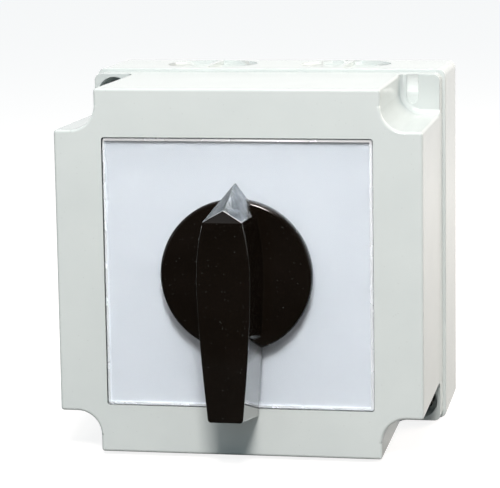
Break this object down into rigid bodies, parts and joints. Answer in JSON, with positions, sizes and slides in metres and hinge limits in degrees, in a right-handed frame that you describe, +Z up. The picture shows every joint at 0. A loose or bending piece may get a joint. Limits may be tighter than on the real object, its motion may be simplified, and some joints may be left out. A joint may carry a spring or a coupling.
{
  "type": "rotary isolator switch",
  "caption": "Surface-mounted enclosed rotary isolator: moulded box with a notched lid, clear-covered face plate and a lever handle that turns a cam switch.",
  "frame": {"origin": "middle of the four wall-fixing holes on the rear face", "axes": "+X to the right, +Y into the wall, +Z up, so the front faces -Y"},
  "size_m": [0.1222, 0.124, 0.1222],
  "materials": {
    "shell_plastic": "light grey moulded plastic with a fine grain",
    "plate_silver": "bright silver, satin",
    "cover_clear": "clear, polished",
    "handle_black": "black, glossy",
    "pointer_chrome": "bright chrome",
    "seal_rubber": "matt black",
    "zinc_steel": "zinc-plated",
    "switch_black": "dark grey moulded plastic",
    "cam_ivory": "ivory moulded plastic",
    "contact_copper": "copper with silver tips",
    "terminal_brass": "turned brass"
  },
  "bodies": {
    "enclosure": {"base_box": "shell_plastic", "lid": "shell_plastic", "lid_gasket": "seal_rubber", "lid_screws": "zinc_steel", "face_plate": "plate_silver", "clear_cover": "cover_clear", "shaft_seal": "seal_rubber", "mounting_plate": "zinc_steel", "mounting_screws": "zinc_steel", "switch_screws": "zinc_steel", "rear_end_plate": "switch_black", "rear_deck": "switch_black", "front_deck": "switch_black", "rear_fixed_contacts": "contact_copper", "front_fixed_contacts": "contact_copper", "rear_terminal_saddles": "zinc_steel", "front_terminal_saddles": "zinc_steel", "rear_terminal_screws": "zinc_steel", "front_terminal_screws": "zinc_steel", "latch_housing": "switch_black", "latch_cover": "switch_black", "detent_springs": "zinc_steel", "tie_bolts": "zinc_steel", "tie_nuts": "zinc_steel", "earth_terminal": "terminal_brass", "earth_screws": "zinc_steel", "neutral_terminal": "terminal_brass", "neutral_screws": "zinc_steel", "rear_right_spring": "zinc_steel", "rear_left_spring": "zinc_steel", "front_right_spring": "zinc_steel", "front_left_spring": "zinc_steel"},
    "rotor": {"handle": "handle_black", "pointer": "pointer_chrome", "handle_clip": "zinc_steel", "switch_shaft": "zinc_steel", "rear_cam": "cam_ivory", "front_cam": "cam_ivory", "detent_wheel": "cam_ivory", "shaft_clip": "zinc_steel"},
    "rear_right_contact": {"rear_right_plunger": "cam_ivory", "rear_right_bridge": "contact_copper"},
    "rear_left_contact": {"rear_left_plunger": "cam_ivory", "rear_left_bridge": "contact_copper"},
    "front_right_contact": {"front_right_plunger": "cam_ivory", "front_right_bridge": "contact_copper"},
    "front_left_contact": {"front_left_plunger": "cam_ivory", "front_left_bridge": "contact_copper"}
  },
  "joints": [
    {"name": "handle_turn", "type": "hinge", "parent": "enclosure", "child": "rotor", "pos_m": [0, 0, 0], "axis": [0, 1, 0], "range_deg": [0, 90], "deforming": ["detent_springs"]},
    {"name": "rear_right_contact_slide", "type": "slide", "parent": "enclosure", "child": "rear_right_contact", "axis": [-1, 0, 0], "range_m": [0, 0.0025], "deforming": ["rear_right_spring"]},
    {"name": "rear_left_contact_slide", "type": "slide", "parent": "enclosure", "child": "rear_left_contact", "axis": [1, 0, 0], "range_m": [0, 0.0025], "deforming": ["rear_left_spring"]},
    {"name": "front_right_contact_slide", "type": "slide", "parent": "enclosure", "child": "front_right_contact", "axis": [-1, 0, 0], "range_m": [0, 0.0025], "deforming": ["front_right_spring"]},
    {"name": "front_left_contact_slide", "type": "slide", "parent": "enclosure", "child": "front_left_contact", "axis": [1, 0, 0], "range_m": [0, 0.0025], "deforming": ["front_left_spring"]}
  ],
  "couplings": [
    {"joint": "rear_right_contact_slide", "follows": "handle_turn", "m_per_rad": 0.0015915},
    {"joint": "rear_left_contact_slide", "follows": "handle_turn", "m_per_rad": 0.0015915},
    {"joint": "front_right_contact_slide", "follows": "handle_turn", "m_per_rad": 0.0015915},
    {"joint": "front_left_contact_slide", "follows": "handle_turn", "m_per_rad": 0.0015915}
  ]
}
